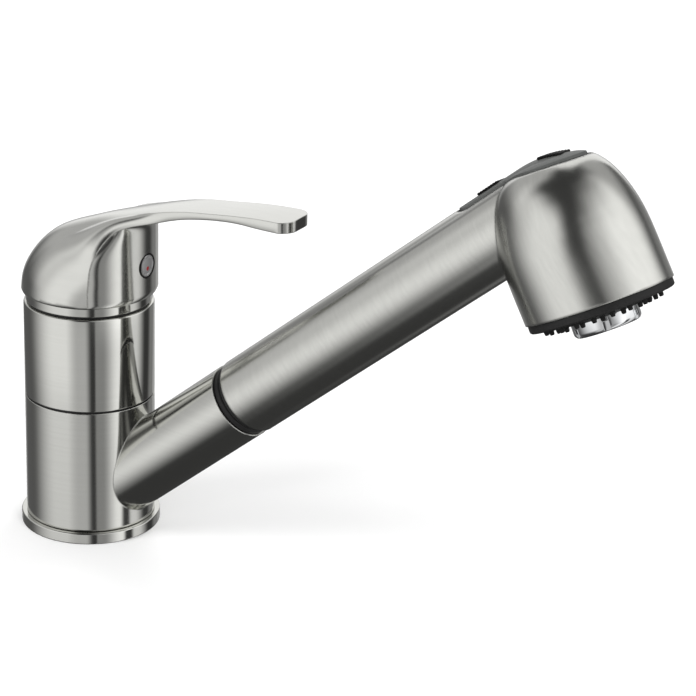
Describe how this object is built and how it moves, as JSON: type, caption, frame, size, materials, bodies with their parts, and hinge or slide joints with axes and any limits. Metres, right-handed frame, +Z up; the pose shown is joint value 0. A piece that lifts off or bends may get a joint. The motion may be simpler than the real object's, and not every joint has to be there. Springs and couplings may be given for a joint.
{
  "type": "pull-out kitchen faucet",
  "caption": "Single-lever kitchen mixer with an inclined swivel spout whose end pulls out on a hose as a two-mode hand spray.",
  "frame": {"origin": "centre of the body column's underside on the deck", "axes": "+Z up along the column, +X forward towards the spray head, +Y to the left seen from behind the column"},
  "size_m": [0.2453, 0.0535, 0.1709],
  "materials": {
    "nickel": "brushed nickel",
    "brass": "as cast and machined",
    "chrome": "polished",
    "black_rubber": "matt",
    "black_plastic": "fine matt",
    "grey_plastic": "satin",
    "white_plastic": "natural",
    "braid": "woven braid",
    "disc_ceramic": "lapped",
    "steel": "bright"
  },
  "bodies": {
    "base": {"base_ring": "nickel", "base_gasket": "black_rubber", "core_body": "brass", "lower_slip_ring": "white_plastic", "upper_slip_ring": "white_plastic", "seam_washer": "black_plastic", "upper_sleeve": "nickel", "gap_ring": "black_rubber", "collar": "nickel", "cartridge_base": "white_plastic", "port_seals": "black_rubber", "fixed_disc": "disc_ceramic", "cartridge_body": "white_plastic", "cartridge_nut": "brass"},
    "spout": {"spout_body": "nickel", "dock_liner": "black_plastic"},
    "hose_end": {"hose": "braid", "hose_fitting": "brass"},
    "wand": {"wand_shell": "nickel", "wand_spigot": "black_plastic", "water_pipe": "white_plastic", "check_valve": "black_plastic", "diverter_body": "white_plastic", "rocker_pin": "steel", "panel_gasket": "black_rubber", "distributor": "white_plastic", "face_plate": "black_plastic", "spray_nozzles": "black_rubber", "aerator_ring": "chrome", "aerator_insert": "grey_plastic"},
    "rocker": {"rocker_panel": "grey_plastic"},
    "plunger": {"diverter_plunger": "black_plastic"},
    "rotor": {"cartridge_rotor": "white_plastic", "stem_pin": "steel"},
    "lever": {"stem": "steel", "lever_shell": "nickel", "grub_screw": "steel", "index_plug": "chrome"},
    "disc": {"moving_disc": "disc_ceramic", "disc_carrier": "white_plastic"}
  },
  "joints": [
    {"name": "spout_swivel", "type": "hinge", "parent": "base", "child": "spout", "pos_m": [0, 0, 0.025], "axis": [0, 0, 1], "range_deg": [-60, 60]},
    {"name": "wand_pull", "type": "slide", "parent": "spout", "child": "hose_end", "axis": [0.7716, 0, 0.6361], "range_m": [0, 0.45], "deforming": ["hose"]},
    {"name": "wand_twist", "type": "hinge", "parent": "hose_end", "child": "wand", "pos_m": [0.06945, 0, 0.06475], "axis": [0.7716, 0, 0.6361], "continuous": true},
    {"name": "rocker_tilt", "type": "hinge", "parent": "wand", "child": "rocker", "pos_m": [0.16599, 0.00087, 0.15672], "axis": [-0.0576, -0.9959, 0.0699], "range_deg": [-2.5, 2.5]},
    {"name": "plunger_slide", "type": "slide", "parent": "wand", "child": "plunger", "axis": [-0.6335, 0.0906, 0.7684], "range_m": [-0.0007, 0.0007]},
    {"name": "lever_turn", "type": "hinge", "parent": "base", "child": "rotor", "pos_m": [0, 0, 0.08], "axis": [0, 0, 1], "range_deg": [-50, 50]},
    {"name": "lever_lift", "type": "hinge", "parent": "rotor", "child": "lever", "pos_m": [0, 0, 0.08], "axis": [0, -1, 0], "range_deg": [0, 25]},
    {"name": "disc_slide", "type": "slide", "parent": "rotor", "child": "disc", "axis": [1, 0, 0], "range_m": [0, 0.0032]}
  ],
  "couplings": [
    {"joint": "disc_slide", "follows": "lever_lift", "m_per_rad": 0.0072},
    {"joint": "plunger_slide", "follows": "rocker_tilt", "m_per_rad": 0.013}
  ]
}
